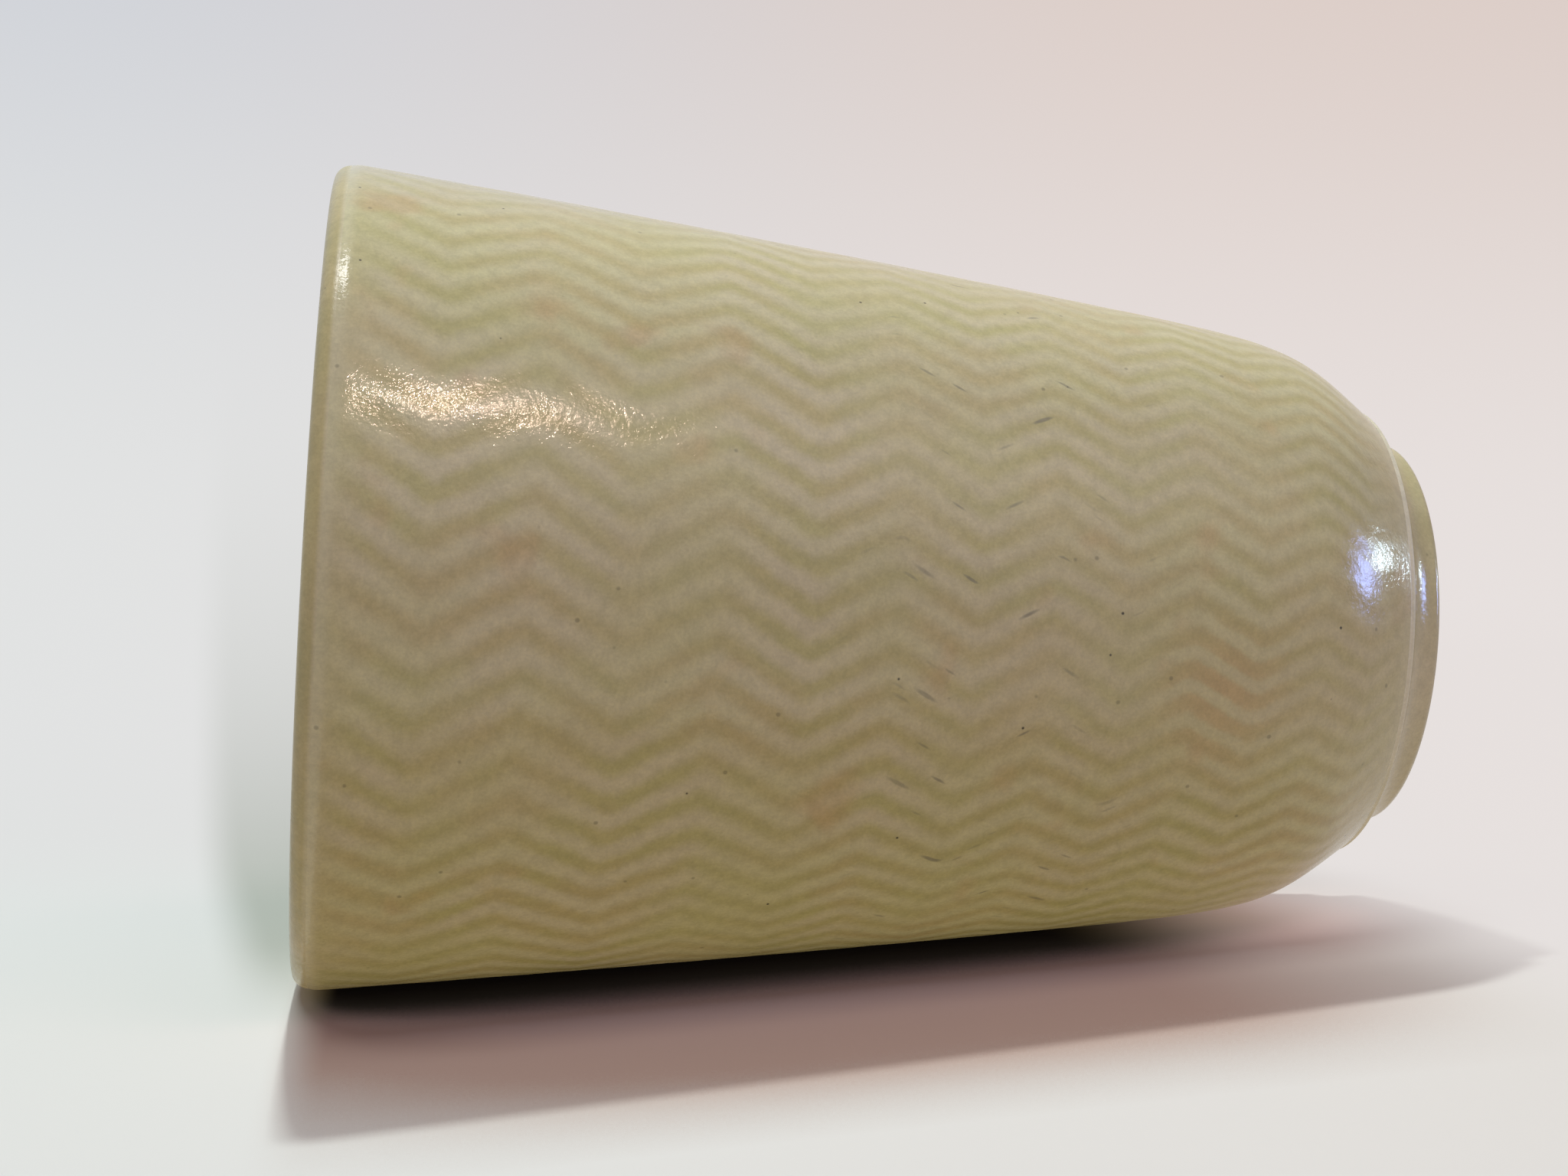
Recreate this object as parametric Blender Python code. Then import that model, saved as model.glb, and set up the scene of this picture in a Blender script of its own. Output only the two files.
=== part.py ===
"""Faience vase: a thrown earthenware body on a luted foot ring, under a glaze with zigzag furrows.

Metres, +Z up. The origin is the centre of the ring that the foot stands on, and +Z runs to the mouth.
Profiles are (radius, height) points, and each one runs down its outer side.
"""

import math

import bmesh
import bpy
import numpy as np

# Form of the vase, measured on the outside of its glaze
HEIGHT = 0.220
RIM_RADIUS = 0.0821
LIP_HEIGHT = 0.0032
BELLY_RADIUS = 0.0646
BELLY_Z = 0.0671
WALL_BOW = 0.00046
ARRIS_RADIUS = 0.0464
ARRIS_Z = 0.0088
DOME_TOP_PULL = 0.75
DOME_FOOT_PULL = 0.345
DOME_END_ANGLE = math.radians(53.0)

# Foot ring
COVE_INSET = 0.0069
COVE_HOLLOW = 0.7
FOOT_EDGE_ROUND = 0.0016
FOOT_WIDTH = 0.0085
FOOT_CHAMFER = 0.0005
WIPED_ANGLE = math.radians(52.0)
WIPED_SKIRT = 0.0015

# Thicknesses of clay, slip and glaze
WALL_AT_LIP = 0.0036
WALL_AT_FOOT = 0.0062
FLOOR = 0.0070
SLIP = 0.0008
OUTER_GLAZE = 0.0009
RIM_GLAZE = 0.0007
INNER_GLAZE = 0.0005
FOOT_GLAZE = 0.0005
BASE_GLAZE = 0.0005
BASE_FILLET = 0.0012
FIT = 0.0003

# Zigzag furrows in the outer glaze, by length down the wall from the lip
STRIPES = 62
STRIPE_START = math.radians(2.7)
FURROW_DEPTH = 0.00025
ZIGZAG_SWING = math.radians(6.2)
ZIGZAG_TWIST = math.radians(-2.0)
ZIGZAG_START = 0.0026
HALF_WAVE = 0.0182
HALF_WAVE_SHRINK = 0.975
FURROW_FADE = 0.0080

# Fineness of the faceted solids
TURN_STEPS = 40
WALL_ROWS = 3
DOME_ROWS = 7
LIP_STEPS = 6
COVE_STEPS = 3
OUTLINE_SAMPLES = 120
TANGENT_STEP = 0.00005
WELD = 0.000001
SHARP_ANGLE = math.radians(35.0)

LIP_Z = HEIGHT - LIP_HEIGHT
FOOT_RADIUS = ARRIS_RADIUS - COVE_INSET
FOOT_INNER_RADIUS = FOOT_RADIUS - FOOT_WIDTH
UNDERSIDE_Z = ARRIS_Z + FIT
FOOT_TOP_Z = ARRIS_Z - SLIP - FIT
CLAY_DEPTH = OUTER_GLAZE + FIT
PITCH = math.tau / STRIPES


class Outline:
    """A turned outline as a dense line of points, read by the length along it."""

    def __init__(self, points):
        self.points = np.array(points)
        steps = np.linalg.norm(np.diff(self.points, axis=0), axis=1)
        self.lengths = np.concatenate(([0.0], np.cumsum(steps)))
        self.length = self.lengths[-1]

    def at(self, along):
        return np.array([np.interp(along, self.lengths, self.points[:, axis]) for axis in (0, 1)])

    def under(self, along, depth):
        """The point that lies depth under the outline, square to it."""
        before = self.at(max(along - TANGENT_STEP, 0.0))
        run = self.at(min(along + TANGENT_STEP, self.length)) - before
        run /= np.linalg.norm(run)
        return self.at(along) - depth * np.array([-run[1], run[0]])


def bezier(controls, count):
    """Points along a quadratic or cubic Bezier curve."""
    controls = np.array(controls)
    degree = len(controls) - 1
    points = []
    for share in np.linspace(0.0, 1.0, count):
        weights = [math.comb(degree, i) * share**i * (1.0 - share) ** (degree - i)
                   for i in range(degree + 1)]
        points.append(weights @ controls)
    return points


def vase_outline():
    """The glazed outside from the lip down the bowed wall and the dome to the foot's arris."""
    wall = []
    for share in np.linspace(0.0, 1.0, OUTLINE_SAMPLES):
        bow = 4.0 * WALL_BOW * share * (1.0 - share)
        radius = RIM_RADIUS + share * (BELLY_RADIUS - RIM_RADIUS) + bow
        wall.append((radius, LIP_Z + share * (BELLY_Z - LIP_Z)))
    dome_height = BELLY_Z - ARRIS_Z
    slope = (RIM_RADIUS - BELLY_RADIUS + 4.0 * WALL_BOW) / (LIP_Z - BELLY_Z)
    down = np.array([-slope, -1.0]) / math.hypot(slope, 1.0)
    out = np.array([math.cos(DOME_END_ANGLE), math.sin(DOME_END_ANGLE)])
    top = np.array([BELLY_RADIUS, BELLY_Z])
    end = np.array([ARRIS_RADIUS, ARRIS_Z])
    pulls = [top + DOME_TOP_PULL * dome_height * down, end + DOME_FOOT_PULL * dome_height * out]
    return Outline(wall + bezier([top, *pulls, end], OUTLINE_SAMPLES)[1:])


def foot_outline():
    """The glazed outside of the foot: a cove under the arris, then a round edge down to the wiped clay."""
    start = np.array([ARRIS_RADIUS - FIT, FOOT_TOP_Z])
    end = np.array([FOOT_RADIUS, FOOT_EDGE_ROUND])
    corner = np.array([FOOT_RADIUS, FOOT_TOP_Z])
    middle = (start + end) / 2.0
    points = bezier([start, middle + COVE_HOLLOW * (corner - middle), end], OUTLINE_SAMPLES)
    for angle in np.linspace(0.0, WIPED_ANGLE, OUTLINE_SAMPLES)[1:]:
        radius = FOOT_RADIUS - FOOT_EDGE_ROUND * (1.0 - math.cos(angle))
        points.append((radius, FOOT_EDGE_ROUND * (1.0 - math.sin(angle))))
    return Outline(points)


VASE = vase_outline()
FOOT = foot_outline()
DOME_START = VASE.lengths[OUTLINE_SAMPLES - 1]


def clay_wall(along):
    """Thickness of the thrown wall, which grows towards the foot."""
    return WALL_AT_LIP + (WALL_AT_FOOT - WALL_AT_LIP) * along / VASE.length


def layer_rows():
    """Lengths along the outline where the clay and the smooth sides of the glaze have their rows."""
    wall = np.linspace(FIT, DOME_START, WALL_ROWS + 1)
    dome = np.linspace(DOME_START, VASE.length, DOME_ROWS + 1)
    return list(wall) + list(dome[1:])


def outside_layer(depth):
    return [VASE.under(along, depth) for along in layer_rows()]


def inside_layer(depth):
    """A layer this deep into the vase from the clay's inner face, from the lip to the axis of its floor."""
    floor_z = UNDERSIDE_Z + FLOOR + depth
    points = []
    for along in layer_rows():
        point = VASE.under(along, CLAY_DEPTH + clay_wall(along) + depth)
        if point[1] <= floor_z:
            share = (points[-1][1] - floor_z) / (points[-1][1] - point[1])
            points.append(points[-1] + share * (point - points[-1]))
            break
        points.append(point)
    return points + [np.array([0.0, points[-1][1]])]


def foot_layer(depth):
    """A layer this deep under the foot's outline, from the foot's flat top to its wiped edge."""
    points = [FOOT.under(along, depth) for along in np.linspace(0.0, FOOT.length, 2 * COVE_STEPS + 1)]
    while points[1][1] >= FOOT_TOP_Z:
        points.pop(0)
    share = (FOOT_TOP_Z - points[1][1]) / (points[0][1] - points[1][1])
    points[0] = points[1] + share * (points[0] - points[1])
    return points


def lip(outer, inner, crest):
    """Half an ellipse over the wall's end, from its outer to its inner edge."""
    middle = (outer + inner) / 2.0
    rise = np.array([0.0, crest - middle[1]])
    turns = np.linspace(0.0, math.pi, LIP_STEPS + 1)
    return [middle + (outer - middle) * math.cos(turn) + rise * math.sin(turn) for turn in turns]


def finished(name, bm, colour, roughness):
    """Closes a mesh into a named, smooth-shaded object with a material of its own."""
    bmesh.ops.recalc_face_normals(bm, faces=bm.faces)
    mesh = bpy.data.meshes.new(name)
    bm.to_mesh(mesh)
    bm.free()
    mesh.shade_smooth()
    mesh.set_sharp_from_angle(angle=SHARP_ANGLE)
    material = bpy.data.materials.new(name)
    material.use_nodes = True
    shader = material.node_tree.nodes["Principled BSDF"]
    shader.inputs["Base Color"].default_value = (*colour, 1.0)
    shader.inputs["Roughness"].default_value = roughness
    shader.inputs["Metallic"].default_value = 0.0
    mesh.materials.append(material)
    piece = bpy.data.objects.new(name, mesh)
    bpy.context.scene.collection.objects.link(piece)
    return piece


def turned(name, profile, colour, roughness):
    """A solid turned about Z. A profile that meets the axis stays open there, and any other is closed."""
    bm = bmesh.new()
    verts = [bm.verts.new((radius, 0.0, height)) for radius, height in profile]
    pairs = list(zip(verts, verts[1:]))
    if profile[0][0] > 0.0:
        pairs.append((verts[-1], verts[0]))
    edges = [bm.edges.new(pair) for pair in pairs]
    bmesh.ops.spin(bm, geom=verts + edges, cent=(0, 0, 0), axis=(0, 0, 1), angle=math.tau,
                   steps=TURN_STEPS, use_merge=True)
    bmesh.ops.remove_doubles(bm, verts=bm.verts, dist=WELD)
    return finished(name, bm, colour, roughness)


def thrown_body():
    """Wall, rounded lip and flat floor, thrown in one piece of earthenware."""
    outside = outside_layer(CLAY_DEPTH)
    inside = inside_layer(0.0)
    crest = lip(VASE.under(0.0, CLAY_DEPTH), VASE.under(0.0, CLAY_DEPTH + clay_wall(0.0)),
                HEIGHT - RIM_GLAZE - FIT)
    underside = [(outside[-1][0], UNDERSIDE_Z), (0.0, UNDERSIDE_Z)]
    profile = inside[::-1] + crest[::-1] + outside + underside
    return turned("thrown_body", profile, (0.60, 0.46, 0.33), 0.85)


def foot_ring():
    """The foot, turned as a ring: glazed cove outside, bare flat contact face below."""
    outside = foot_layer(FOOT_GLAZE + FIT)
    wiped_radius = outside[-1][0]
    profile = outside + [
        (wiped_radius, FOOT_CHAMFER),
        (wiped_radius - FOOT_CHAMFER, 0.0),
        (FOOT_INNER_RADIUS + FOOT_CHAMFER, 0.0),
        (FOOT_INNER_RADIUS, FOOT_CHAMFER),
        (FOOT_INNER_RADIUS, FOOT_TOP_Z),
    ]
    return turned("foot_ring", profile, (0.58, 0.44, 0.31), 0.85)


def luting_slip():
    """The slip that joins foot and body, squeezed to a rounded bead at the arris."""
    bead = SLIP / 2.0
    turns = np.linspace(math.pi / 2.0, -math.pi / 2.0, COVE_STEPS + 1)
    profile = [(ARRIS_RADIUS - bead + bead * math.cos(turn), ARRIS_Z - bead + bead * math.sin(turn))
               for turn in turns]
    profile += [(FOOT_INNER_RADIUS, ARRIS_Z - SLIP), (FOOT_INNER_RADIUS, ARRIS_Z)]
    return turned("luting_slip", profile, (0.74, 0.69, 0.54), 0.5)


def rim_glaze():
    """The glaze over the lip, thinner and browner than on the wall."""
    wall = clay_wall(0.0)
    thickness = CLAY_DEPTH + wall + FIT + INNER_GLAZE
    over = lip(VASE.under(0.0, 0.0), VASE.under(0.0, thickness), HEIGHT)
    below = lip(VASE.under(0.0, OUTER_GLAZE), VASE.under(0.0, CLAY_DEPTH + wall + FIT), HEIGHT - RIM_GLAZE)
    return turned("rim_glaze", over[::-1] + below, (0.50, 0.44, 0.24), 0.25)


def inner_glaze():
    """The glaze coat inside, from the lip to the floor."""
    profile = inside_layer(FIT + INNER_GLAZE)[::-1] + inside_layer(FIT)
    return turned("inner_glaze", profile, (0.62, 0.56, 0.35), 0.25)


def foot_glaze():
    """The glaze in the foot's cove and over its edge, wiped off the resting face."""
    profile = foot_layer(0.0) + foot_layer(FOOT_GLAZE)[::-1]
    return turned("foot_glaze", profile, (0.55, 0.48, 0.27), 0.25)


def base_glaze():
    """The glaze under the floor, turned down inside the foot ring and wiped short of the resting face."""
    radius = FOOT_INNER_RADIUS - FIT
    profile = [
        (0.0, ARRIS_Z),
        (radius - BASE_FILLET, ARRIS_Z),
        (radius, ARRIS_Z - BASE_FILLET),
        (radius, WIPED_SKIRT),
        (radius - BASE_GLAZE, WIPED_SKIRT),
        (radius - BASE_GLAZE, ARRIS_Z - BASE_GLAZE - BASE_FILLET),
        (radius - BASE_GLAZE - BASE_FILLET, ARRIS_Z - BASE_GLAZE),
        (0.0, ARRIS_Z - BASE_GLAZE),
    ]
    return turned("base_glaze", profile, (0.56, 0.50, 0.30), 0.3)


def zigzag_vertices():
    """Lengths from the lip where the zigzag turns, each half wave shorter than the one above it."""
    turns = [ZIGZAG_START]
    half_wave = HALF_WAVE
    while turns[-1] < VASE.length:
        turns.append(turns[-1] + half_wave)
        half_wave *= HALF_WAVE_SHRINK
    return turns


def furrow_rows():
    """Rows of the furrowed face: its ends, each turn of the zigzag, and between turns on the dome."""
    turns = [turn for turn in zigzag_vertices() if FURROW_FADE < turn < VASE.length - FURROW_FADE / 2.0]
    rows = [FIT, FURROW_FADE]
    for before, turn in zip(rows[1:] + turns, turns):
        if turn > DOME_START:
            rows.append((before + turn) / 2.0)
        rows.append(turn)
    return rows + [(rows[-1] + VASE.length) / 2.0, VASE.length]


def zigzag_shift(along):
    """How far round the vase the zigzag has swung at this length from the lip."""
    turns = zigzag_vertices()
    swings = [ZIGZAG_SWING / 2.0 * (-1.0) ** number for number in range(len(turns))]
    return np.interp(along, turns, swings) + ZIGZAG_TWIST * along / VASE.length


def furrow_depth(along):
    """Depth of the furrows, which start shallow under the lip and run out at the arris."""
    return FURROW_DEPTH * min(along / FURROW_FADE, 1.0, 2.0 * (VASE.length - along) / FURROW_FADE)


def ring(bm, point, angles):
    radius, height = point
    return [bm.verts.new((radius * math.cos(angle), radius * math.sin(angle), height)) for angle in angles]


def furrowed_ring(bm, along):
    """One row of ridge and furrow points by turns."""
    ridge = VASE.under(along, 0.0)
    furrow = VASE.under(along, furrow_depth(along))
    start = STRIPE_START + zigzag_shift(along)
    verts = []
    for number in range(STRIPES):
        verts += ring(bm, ridge, [start + number * PITCH])
        verts += ring(bm, furrow, [start + (number + 0.5) * PITCH])
    return verts


def join_rows(bm, above, below):
    """Faces between two rows with as many points."""
    for here in range(len(above)):
        after = (here + 1) % len(above)
        bm.faces.new((above[here], below[here], below[after], above[after]))


def close_end(bm, fine, coarse):
    """Faces between a furrowed row and a smooth row with half as many points."""
    for number, vert in enumerate(coarse):
        after = coarse[(number + 1) % len(coarse)]
        ridge, furrow = fine[2 * number], fine[2 * number + 1]
        next_ridge = fine[(2 * number + 2) % len(fine)]
        for corners in ((vert, ridge, furrow), (vert, furrow, after), (after, furrow, next_ridge)):
            bm.faces.new(corners)


def outer_glaze():
    """The glaze coat outside, smooth where it meets the clay and furrowed in zigzags where it shows."""
    bm = bmesh.new()
    fine = [furrowed_ring(bm, along) for along in furrow_rows()]
    angles = [STRIPE_START + number * PITCH for number in range(STRIPES)]
    smooth = [ring(bm, point, angles) for point in outside_layer(OUTER_GLAZE)]
    for rows in (fine, smooth):
        for above, below in zip(rows, rows[1:]):
            join_rows(bm, above, below)
    close_end(bm, fine[0], smooth[0])
    close_end(bm, fine[-1], smooth[-1])
    return finished("outer_glaze", bm, (0.61, 0.55, 0.32), 0.25)


for old in list(bpy.data.objects):
    bpy.data.objects.remove(old, do_unlink=True)

vase = bpy.data.objects.new("vase", None)
bpy.context.scene.collection.objects.link(vase)
pieces = (thrown_body, foot_ring, luting_slip, outer_glaze, rim_glaze, inner_glaze, foot_glaze, base_glaze)
for make in pieces:
    make().parent = vase
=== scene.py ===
"""Looks of the faience vase: fine glaze meshes with their zigzag, procedural ceramics, lamps and camera.

Metres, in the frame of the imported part: +Z runs from the foot to the mouth. The photographed vase lies on
its side, so the sweep's floor touches the wall's -X side, and the camera has +X up.
"""

import math
from typing import NamedTuple

import bpy
import numpy as np
from mathutils import Matrix, Vector


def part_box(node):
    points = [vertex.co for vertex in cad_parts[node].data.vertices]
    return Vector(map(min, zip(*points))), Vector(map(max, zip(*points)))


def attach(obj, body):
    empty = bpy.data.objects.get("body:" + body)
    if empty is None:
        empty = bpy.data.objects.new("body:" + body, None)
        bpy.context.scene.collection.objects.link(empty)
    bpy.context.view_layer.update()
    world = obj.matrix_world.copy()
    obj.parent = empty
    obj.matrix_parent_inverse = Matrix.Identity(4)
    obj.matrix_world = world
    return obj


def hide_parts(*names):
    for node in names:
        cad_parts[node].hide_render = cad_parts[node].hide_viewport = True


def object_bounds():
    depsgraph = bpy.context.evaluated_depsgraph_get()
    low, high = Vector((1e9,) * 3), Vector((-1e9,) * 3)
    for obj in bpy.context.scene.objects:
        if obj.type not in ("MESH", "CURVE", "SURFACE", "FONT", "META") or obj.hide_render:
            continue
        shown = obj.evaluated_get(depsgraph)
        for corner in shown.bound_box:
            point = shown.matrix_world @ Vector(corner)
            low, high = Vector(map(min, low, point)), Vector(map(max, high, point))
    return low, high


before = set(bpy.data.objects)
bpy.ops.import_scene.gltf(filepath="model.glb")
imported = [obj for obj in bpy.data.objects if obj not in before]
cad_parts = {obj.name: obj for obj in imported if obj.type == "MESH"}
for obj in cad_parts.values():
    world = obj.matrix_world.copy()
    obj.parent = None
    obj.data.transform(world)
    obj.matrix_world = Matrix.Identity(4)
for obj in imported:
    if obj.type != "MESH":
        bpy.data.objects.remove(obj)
CAD_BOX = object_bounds()

# Form of the vase, on the outside of its glaze
HEIGHT = CAD_BOX[1].z
VASE_MIDDLE = Vector((0.0, 0.0, HEIGHT / 2.0))
LIP_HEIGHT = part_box("rim_glaze")[1].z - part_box("rim_glaze")[0].z
LIP_Z = HEIGHT - LIP_HEIGHT
RIM_RADIUS = 0.0821
BELLY_RADIUS = 0.0646
BELLY_Z = 0.0671
WALL_BOW = 0.00046
ARRIS_RADIUS = 0.0464
ARRIS_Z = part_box("luting_slip")[1].z
DOME_TOP_PULL = 0.75
DOME_FOOT_PULL = 0.345
DOME_END_ANGLE = math.radians(53.0)
COVE_INSET = 0.0069
COVE_HOLLOW = 0.7
FOOT_EDGE_ROUND = 0.0016
FOOT_WIDTH = 0.0085
WIPED_ANGLE = math.radians(52.0)
WIPED_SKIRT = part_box("base_glaze")[0].z

# Thicknesses
WALL_AT_LIP = 0.0036
WALL_AT_FOOT = 0.0062
FLOOR = 0.0070
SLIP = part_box("luting_slip")[1].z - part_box("luting_slip")[0].z
OUTER_GLAZE = 0.0009
RIM_GLAZE = 0.0007
INNER_GLAZE = 0.0005
FOOT_GLAZE = 0.0005
BASE_GLAZE = 0.0005
BASE_FILLET = 0.0012
FIT = 0.0003

# Worked out from these
CLAY_DEPTH = OUTER_GLAZE + FIT
FOOT_RADIUS = ARRIS_RADIUS - COVE_INSET
FOOT_INNER_RADIUS = FOOT_RADIUS - FOOT_WIDTH
FOOT_TOP_Z = ARRIS_Z - SLIP

# Fine forms of lip, slip and inside
BEAD_RISE = 0.0004
BEAD_SWELL = 0.0004
BEAD_LEAN = np.array([1.0, 0.5])
SHOULDER = 0.0024
SHOULDER_ROUND = 0.0070
RING_SPACING = 0.0065
RING_DEPTH = 0.00008

# Zigzag
STRIPES = 62
STRIPE_START = math.radians(3.3)
RELIEF = 0.00004
ZIGZAG_SWING = math.radians(7.6)
SWING_SHRINK = 0.982
ZIGZAG_TWIST = math.radians(-2.6)
ZIGZAG_START = -0.0012
ZIGZAG_ROUNDING = 0.0014
HALF_WAVE = 0.0190
HALF_WAVE_SHRINK = 0.965
TURN_SWAY = 0.0021
LIP_FADE = 0.0080
ARRIS_FADE = 0.0140
WOBBLE = 0.10
WOBBLE_TURNS = range(2, 14)
WOBBLE_RUN = 90.0
WOBBLE_SEED = 7
COMB_DRAW = 0.22

# Fineness of the meshes
COLUMNS_PER_STRIPE = 8
COLUMNS = STRIPES * COLUMNS_PER_STRIPE
GLAZE_ROWS = 240
UNDER_ROWS = 24
INSIDE_ROWS = 160
FOOT_ROWS = 40
LIP_POINTS = 33
CURVE_POINTS = 17
FILLET_POINTS = 9
ROUNDING_SAMPLES = 9
TURN_COLUMNS = 248
SAMPLES = 400
FLOOR_RINGS = (0.985, 0.9, 0.7, 0.4, 0.15)
BASE_RINGS = (0.2, 0.5, 0.8)
SHARP_ANGLE = math.radians(50.0)

# Camera
LENS = 63.0
SENSOR_WIDTH = 36.0
CLIP_START = 0.01
CAMERA_AT = Vector((0.00263, -0.55705, 0.20118))
CAMERA_LOOK = Vector((0.0, 0.99090, -0.13459))
CAMERA_UP = Vector((0.99856, 0.00722, 0.05319))


# Outlines, as (radius, height) points read by the length along them


class Outline:
    """A dense line of points that is read by the length along it."""

    def __init__(self, points):
        self.points = np.array(points)
        steps = np.linalg.norm(np.diff(self.points, axis=0), axis=1)
        self.lengths = np.concatenate(([0.0], np.cumsum(steps)))
        self.length = self.lengths[-1]
        runs = np.gradient(self.points, self.lengths, axis=0)
        runs /= np.linalg.norm(runs, axis=1)[:, None]
        self.normals = np.stack((-runs[:, 1], runs[:, 0]), axis=1)

    def under(self, along, depth):
        """Points this deep under the outline at the lengths along it."""
        read = [[np.interp(along, self.lengths, table[:, axis]) for axis in (0, 1)]
                for table in (self.points, self.normals)]
        points, normals = np.array(read).transpose(0, 2, 1)
        return points - normals * np.reshape(depth, (-1, 1))


def bezier(controls, count):
    """Points along a quadratic or cubic Bezier curve."""
    controls = np.array(controls)
    degree = len(controls) - 1
    share = np.linspace(0.0, 1.0, count)[:, None]
    weights = [math.comb(degree, i) * share**i * (1.0 - share) ** (degree - i) for i in range(degree + 1)]
    return sum(weight * control for weight, control in zip(weights, controls))


def vase_outline():
    """The outside of wall and dome, from the lip to the arris."""
    share = np.linspace(0.0, 1.0, SAMPLES)
    radius = RIM_RADIUS + share * (BELLY_RADIUS - RIM_RADIUS) + 4.0 * WALL_BOW * share * (1.0 - share)
    wall = np.stack((radius, LIP_Z + share * (BELLY_Z - LIP_Z)), axis=1)
    dome_height = BELLY_Z - ARRIS_Z
    slope = (RIM_RADIUS - BELLY_RADIUS + 4.0 * WALL_BOW) / (LIP_Z - BELLY_Z)
    down = np.array([-slope, -1.0]) / math.hypot(slope, 1.0)
    out = np.array([math.cos(DOME_END_ANGLE), math.sin(DOME_END_ANGLE)])
    top, end = wall[-1], np.array([ARRIS_RADIUS, ARRIS_Z])
    pulls = [top + DOME_TOP_PULL * dome_height * down, end + DOME_FOOT_PULL * dome_height * out]
    return Outline(np.concatenate((wall, bezier([top, *pulls, end], SAMPLES)[1:])))


def foot_outline():
    """The foot's cove and its rounded edge, down to where the glaze is wiped."""
    start, end = np.array([ARRIS_RADIUS - FIT, FOOT_TOP_Z]), np.array([FOOT_RADIUS, FOOT_EDGE_ROUND])
    corner = np.array([FOOT_RADIUS, FOOT_TOP_Z])
    middle = (start + end) / 2.0
    cove = bezier([start, middle + COVE_HOLLOW * (corner - middle), end], SAMPLES)
    angles = np.linspace(0.0, WIPED_ANGLE, SAMPLES)[1:]
    edge = np.stack((FOOT_RADIUS - FOOT_EDGE_ROUND * (1.0 - np.cos(angles)),
                     FOOT_EDGE_ROUND * (1.0 - np.sin(angles))), axis=1)
    return Outline(np.concatenate((cove, edge)))


VASE = vase_outline()
FOOT = foot_outline()


def clay_wall(along):
    """Thickness of the clay, which grows from the lip to the foot."""
    return WALL_AT_LIP + (WALL_AT_FOOT - WALL_AT_LIP) * np.asarray(along) / VASE.length


def lip_curve(outer, inner, crest, count):
    """Half an ellipse over the wall's end, from its outer to its inner edge."""
    middle = (outer + inner) / 2.0
    turns = np.linspace(0.0, math.pi, count)[:, None]
    return middle + (outer - middle) * np.cos(turns) + np.array([0.0, crest - middle[1]]) * np.sin(turns)


# Zigzag, by length from the lip


def shoulder_drop(along):
    """How far the wall rounds off under the lip."""
    return np.maximum(SHOULDER - along, 0.0) ** 2 / (2.0 * SHOULDER_ROUND)


def zigzag_shift(along, angle):
    """How far round the vase the zigzag has swung. Its turns sway a little and are rounded."""
    turns = [ZIGZAG_START]
    half_wave = HALF_WAVE
    while turns[-1] < VASE.length + HALF_WAVE:
        turns.append(turns[-1] + half_wave)
        half_wave *= HALF_WAVE_SHRINK
    swings = [ZIGZAG_SWING / 2.0 * (-SWING_SHRINK) ** number for number in range(len(turns))]
    offsets = np.linspace(-ZIGZAG_ROUNDING, ZIGZAG_ROUNDING, ROUNDING_SAMPLES)
    places = along - TURN_SWAY * np.cos(angle)
    rounded = np.mean([np.interp(places + offset, turns, swings) for offset in offsets], axis=0)
    return rounded + ZIGZAG_TWIST * along / VASE.length


def fade(along):
    """Strength of the zigzag: faint under the lip, full on the wall, running out at the arris."""
    return np.clip(np.minimum(along / LIP_FADE, (VASE.length - along) / ARRIS_FADE), 0.0, 1.0)


def wobble(angle, along):
    """Slow seeded waves that make the stripes look combed by hand."""
    draw = np.random.default_rng(WOBBLE_SEED)
    total = np.zeros(np.broadcast(angle, along).shape)
    for turns in WOBBLE_TURNS:
        run = draw.uniform(-1.0, 1.0) * WOBBLE_RUN
        height = draw.normal()
        start = draw.uniform(0.0, math.tau)
        total += height * np.sin(turns * angle + run * along + start)
    return WOBBLE * total


# Meshes


def grid_faces(rows, columns, closed_rows=False):
    """Quads of a grid of points that closes round the vase, and also along its profile if asked."""
    count = rows if closed_rows else rows - 1
    row, column = np.meshgrid(np.arange(count), np.arange(columns), indexing="ij")
    below, after = (row + 1) % rows, (column + 1) % columns
    corners = [row * columns + column, below * columns + column,
               below * columns + after, row * columns + after]
    return np.stack(corners, axis=-1).reshape(-1, 4).tolist()


def wrapped(points, angles):
    """(radius, height) points turned to their angles, as rows of places."""
    radius, height, angles = np.broadcast_arrays(points[..., 0], points[..., 1], angles)
    return np.stack((radius * np.cos(angles), radius * np.sin(angles), height), axis=-1).reshape(-1, 3)


def new_piece(name, verts, faces, material, node):
    """A smooth mesh object that rides on the vase, in place of its CAD node."""
    mesh = bpy.data.meshes.new(name)
    mesh.from_pydata(verts.tolist(), [], faces)
    mesh.update()
    mesh.shade_smooth()
    mesh.set_sharp_from_angle(angle=SHARP_ANGLE)
    mesh.materials.append(material)
    piece = bpy.data.objects.new(name, mesh)
    bpy.context.scene.collection.objects.link(piece)
    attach(piece, "root")
    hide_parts(node)
    return piece


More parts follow.
